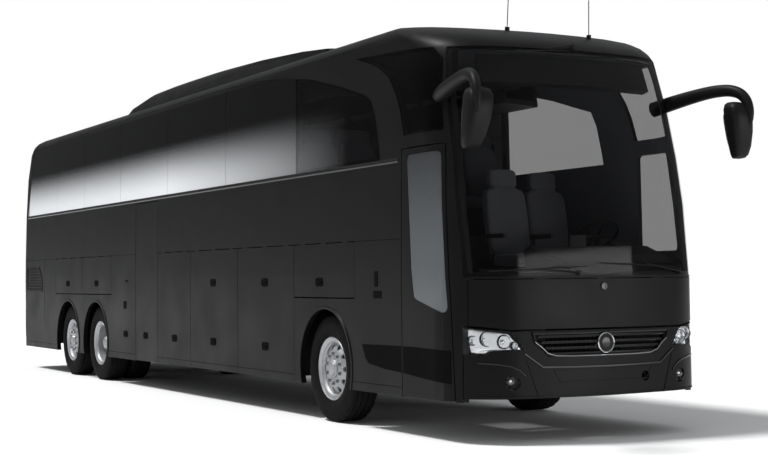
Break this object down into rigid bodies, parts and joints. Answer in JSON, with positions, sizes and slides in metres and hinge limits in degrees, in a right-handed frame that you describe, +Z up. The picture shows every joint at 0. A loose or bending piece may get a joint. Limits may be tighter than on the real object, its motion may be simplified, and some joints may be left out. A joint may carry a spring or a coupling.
{
  "type": "touring coach bus",
  "caption": "High-deck touring coach with steered front wheels, swing-out entrance doors, side luggage flaps, roof air conditioner, engine lid and a fitted passenger cabin.",
  "frame": {"origin": "on the ground, under the middle of the whole coach", "axes": "+X towards the driver's left side, +Y towards the rear, +Z up; the front faces -Y and the entrance doors are on the -X side"},
  "size_m": [2.9, 14.3276, 3.9606],
  "materials": {
    "black_enamel": "gloss black enamel",
    "tinted_glass": "tinted",
    "lamp_lens": "clear lens",
    "tail_lens": "red lens",
    "black_plastic": "black",
    "chassis_paint": "satin black",
    "cast_iron": "cast",
    "floor_covering": "grained",
    "seat_fabric": "dark weave",
    "trim_plastic": "grained",
    "tyre": "black rubber",
    "rim_silver": "silver"
  },
  "bodies": {
    "coach": {"underframe": "chassis_paint", "passenger_deck": "floor_covering", "right_side_wall": "black_enamel", "left_side_wall": "black_enamel", "fixed_windows": "tinted_glass", "roof": "black_enamel", "roof_air_conditioner": "black_enamel", "roof_hatches": "black_enamel", "front_shell": "black_enamel", "windscreen": "tinted_glass", "front_bumper": "black_enamel", "grille": "black_plastic", "headlamps": "lamp_lens", "rear_shell": "black_enamel", "tail_lamps": "tail_lens", "wipers": "black_plastic", "mirrors": "black_plastic", "antennas": "black_plastic", "axles": "chassis_paint", "engine": "cast_iron", "passenger_seats": "seat_fabric", "luggage_racks": "trim_plastic", "dashboard": "trim_plastic", "crew_seats": "seat_fabric", "tow_sockets": "chassis_paint"},
    "front_knuckle_left": {"front_knuckle_left": "chassis_paint"},
    "front_wheel_left": {"front_tyre_left": "tyre", "front_rim_left": "rim_silver"},
    "drive_wheels_left": {"drive_tyres_left": "tyre", "drive_rims_left": "rim_silver"},
    "tag_wheel_left": {"tag_tyre_left": "tyre", "tag_rim_left": "rim_silver"},
    "front_knuckle_right": {"front_knuckle_right": "chassis_paint"},
    "front_wheel_right": {"front_tyre_right": "tyre", "front_rim_right": "rim_silver"},
    "drive_wheels_right": {"drive_tyres_right": "tyre", "drive_rims_right": "rim_silver"},
    "tag_wheel_right": {"tag_tyre_right": "tyre", "tag_rim_right": "rim_silver"},
    "steering_wheel": {"steering_wheel": "trim_plastic"},
    "service_flap_front_right": {"service_flap_front_right": "black_enamel"},
    "luggage_flap_1_right": {"luggage_flap_1_right": "black_enamel"},
    "luggage_flap_2_right": {"luggage_flap_2_right": "black_enamel"},
    "luggage_flap_3_right": {"luggage_flap_3_right": "black_enamel"},
    "service_flap_drive_right": {"service_flap_drive_right": "black_enamel"},
    "service_flap_tag_right": {"service_flap_tag_right": "black_enamel"},
    "service_flap_front_left": {"service_flap_front_left": "black_enamel"},
    "luggage_flap_1_left": {"luggage_flap_1_left": "black_enamel"},
    "luggage_flap_2_left": {"luggage_flap_2_left": "black_enamel"},
    "luggage_flap_3_left": {"luggage_flap_3_left": "black_enamel"},
    "service_flap_drive_left": {"service_flap_drive_left": "black_enamel"},
    "service_flap_tag_left": {"service_flap_tag_left": "black_enamel"},
    "front_lid": {"front_lid": "black_enamel"},
    "engine_lid": {"engine_lid": "black_enamel"},
    "front_door_arm": {"front_door_arm": "chassis_paint"},
    "front_door": {"front_door_leaf": "black_enamel", "front_door_glass": "tinted_glass"},
    "mid_door_arm": {"mid_door_arm": "chassis_paint"},
    "mid_door": {"mid_door_leaf": "black_enamel"}
  },
  "joints": [
    {"name": "steer_left", "type": "hinge", "parent": "coach", "child": "front_knuckle_left", "pos_m": [0.96, -4.14, 0.51], "axis": [0, 0, 1], "range_deg": [-40, 40]},
    {"name": "front_wheel_spin_left", "type": "hinge", "parent": "front_knuckle_left", "child": "front_wheel_left", "pos_m": [1.077, -4.14, 0.51], "axis": [1, 0, 0], "continuous": true},
    {"name": "drive_wheels_spin_left", "type": "hinge", "parent": "coach", "child": "drive_wheels_left", "pos_m": [0.9, 3.185, 0.51], "axis": [1, 0, 0], "continuous": true},
    {"name": "tag_wheel_spin_left", "type": "hinge", "parent": "coach", "child": "tag_wheel_left", "pos_m": [1.077, 4.535, 0.51], "axis": [1, 0, 0], "continuous": true},
    {"name": "steer_right", "type": "hinge", "parent": "coach", "child": "front_knuckle_right", "pos_m": [-0.96, -4.14, 0.51], "axis": [0, 0, 1], "range_deg": [-40, 40]},
    {"name": "front_wheel_spin_right", "type": "hinge", "parent": "front_knuckle_right", "child": "front_wheel_right", "pos_m": [-1.077, -4.14, 0.51], "axis": [1, 0, 0], "continuous": true},
    {"name": "drive_wheels_spin_right", "type": "hinge", "parent": "coach", "child": "drive_wheels_right", "pos_m": [-0.9, 3.185, 0.51], "axis": [1, 0, 0], "continuous": true},
    {"name": "tag_wheel_spin_right", "type": "hinge", "parent": "coach", "child": "tag_wheel_right", "pos_m": [-1.077, 4.535, 0.51], "axis": [1, 0, 0], "continuous": true},
    {"name": "steering_wheel_turn", "type": "hinge", "parent": "coach", "child": "steering_wheel", "pos_m": [0.65, -5.855, 1.73], "axis": [0, 0.5878, 0.809], "range_deg": [-720, 720]},
    {"name": "service_flap_front_right_hinge", "type": "hinge", "parent": "coach", "child": "service_flap_front_right", "pos_m": [-1.27054, -4.0995, 1.703], "axis": [0, 1, 0], "range_deg": [0, 85]},
    {"name": "luggage_flap_1_right_hinge", "type": "hinge", "parent": "coach", "child": "luggage_flap_1_right", "pos_m": [-1.27054, -2.701, 1.703], "axis": [0, 1, 0], "range_deg": [0, 85]},
    {"name": "luggage_flap_2_right_hinge", "type": "hinge", "parent": "coach", "child": "luggage_flap_2_right", "pos_m": [-1.27054, -1.2465, 1.703], "axis": [0, 1, 0], "range_deg": [0, 85]},
    {"name": "luggage_flap_3_right_hinge", "type": "hinge", "parent": "coach", "child": "luggage_flap_3_right", "pos_m": [-1.27054, 0.046, 1.703], "axis": [0, 1, 0], "range_deg": [0, 85]},
    {"name": "service_flap_drive_right_hinge", "type": "hinge", "parent": "coach", "child": "service_flap_drive_right", "pos_m": [-1.27054, 3.151, 1.703], "axis": [0, 1, 0], "range_deg": [0, 85]},
    {"name": "service_flap_tag_right_hinge", "type": "hinge", "parent": "coach", "child": "service_flap_tag_right", "pos_m": [-1.27054, 4.51, 1.703], "axis": [0, 1, 0], "range_deg": [0, 85]},
    {"name": "service_flap_front_left_hinge", "type": "hinge", "parent": "coach", "child": "service_flap_front_left", "pos_m": [1.27054, -4.0995, 1.703], "axis": [0, -1, 0], "range_deg": [0, 85]},
    {"name": "luggage_flap_1_left_hinge", "type": "hinge", "parent": "coach", "child": "luggage_flap_1_left", "pos_m": [1.27054, -2.701, 1.703], "axis": [0, -1, 0], "range_deg": [0, 85]},
    {"name": "luggage_flap_2_left_hinge", "type": "hinge", "parent": "coach", "child": "luggage_flap_2_left", "pos_m": [1.27054, -1.2465, 1.703], "axis": [0, -1, 0], "range_deg": [0, 85]},
    {"name": "luggage_flap_3_left_hinge", "type": "hinge", "parent": "coach", "child": "luggage_flap_3_left", "pos_m": [1.27054, 0.47, 1.703], "axis": [0, -1, 0], "range_deg": [0, 85]},
    {"name": "service_flap_drive_left_hinge", "type": "hinge", "parent": "coach", "child": "service_flap_drive_left", "pos_m": [1.27054, 3.151, 1.703], "axis": [0, -1, 0], "range_deg": [0, 85]},
    {"name": "service_flap_tag_left_hinge", "type": "hinge", "parent": "coach", "child": "service_flap_tag_left", "pos_m": [1.27054, 4.51, 1.703], "axis": [0, -1, 0], "range_deg": [0, 85]},
    {"name": "front_lid_hinge", "type": "hinge", "parent": "coach", "child": "front_lid", "pos_m": [0, -6.859, 1.346], "axis": [-1, 0, 0], "range_deg": [0, 75]},
    {"name": "engine_lid_hinge", "type": "hinge", "parent": "coach", "child": "engine_lid", "pos_m": [0, 7.165, 1.952], "axis": [1, 0, 0], "range_deg": [0, 80]},
    {"name": "front_door_swing", "type": "hinge", "parent": "coach", "child": "front_door_arm", "pos_m": [-1.1, -6.29, 1.4], "axis": [0, 0, 1], "range_deg": [0, 108.23]},
    {"name": "front_door_guide", "type": "hinge", "parent": "front_door_arm", "child": "front_door", "pos_m": [-1.19, -5.8287, 1.4], "axis": [0, 0, 1], "range_deg": [-108.23, 0]},
    {"name": "mid_door_swing", "type": "hinge", "parent": "coach", "child": "mid_door_arm", "pos_m": [-1.1, 1.405, 1.4], "axis": [0, 0, 1], "range_deg": [-108.23, 0]},
    {"name": "mid_door_guide", "type": "hinge", "parent": "mid_door_arm", "child": "mid_door", "pos_m": [-1.19, 0.9437, 1.4], "axis": [0, 0, 1], "range_deg": [0, 108.23]}
  ],
  "couplings": [
    {"joint": "steer_right", "follows": "steer_left", "ratio": 1},
    {"joint": "steering_wheel_turn", "follows": "steer_left", "ratio": 17},
    {"joint": "front_door_guide", "follows": "front_door_swing", "ratio": -1},
    {"joint": "mid_door_guide", "follows": "mid_door_swing", "ratio": -1}
  ]
}
